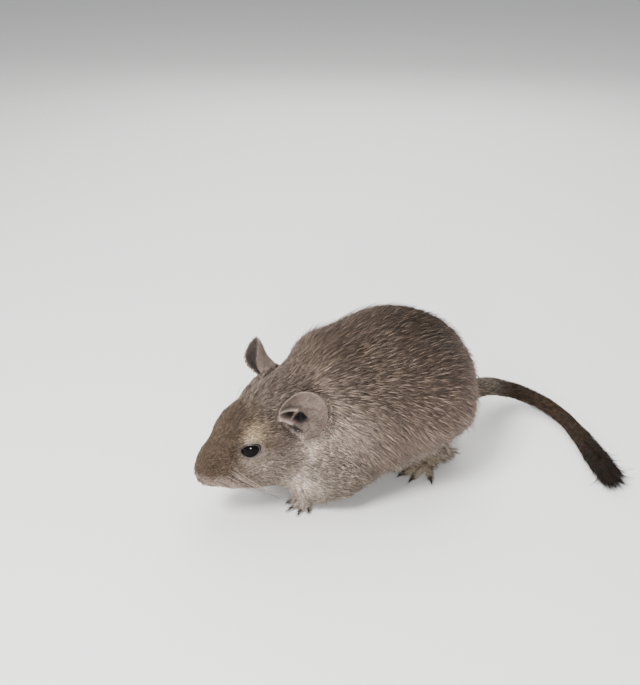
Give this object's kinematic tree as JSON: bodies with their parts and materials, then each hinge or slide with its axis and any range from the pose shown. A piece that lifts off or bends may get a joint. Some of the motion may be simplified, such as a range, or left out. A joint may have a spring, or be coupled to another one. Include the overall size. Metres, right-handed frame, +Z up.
{
  "type": "degu model",
  "caption": "Life-size young degu crouching on all fours, head low, round ears up, tail laid on the floor and curled to its left, ending in a black brush.",
  "frame": {"origin": "middle of the bounding box in plan, at floor level, which is where the soles and the laid tail rest", "axes": "+Z up, the degu faces -Y with its body along Y, +X is its left, to which the tail curls"},
  "size_m": [0.0798, 0.1524, 0.0626],
  "materials": {
    "coat_back": "short brown ticked fur",
    "coat_shoulder": "short grey-brown fur",
    "coat_face": "short grey-brown fur, pale round the eyes",
    "coat_flank": "paler grey-brown fur",
    "ear_skin": "thin, nearly bare grey-pink skin",
    "eye_dark": "wet, near-black",
    "foot_skin": "grey-tan skin with pale bristles and dark claws",
    "tail_coat": "short grey-olive bristles over scaly skin",
    "tuft_black": "coarse black hair"
  },
  "bodies": {
    "root": {"torso": "coat_back", "neck": "coat_shoulder", "head": "coat_face", "ear_left": "ear_skin", "ear_right": "ear_skin", "eye_left": "eye_dark", "eye_right": "eye_dark", "foreleg_left": "coat_flank", "foreleg_right": "coat_flank", "hindleg_left": "coat_flank", "hindleg_right": "coat_flank", "forefoot_left": "foot_skin", "forefoot_right": "foot_skin", "hindfoot_left": "foot_skin", "hindfoot_right": "foot_skin", "tail_base": "tail_coat", "tail_middle": "tail_coat", "tail_tuft": "tuft_black"}
  },
  "joints": []
}
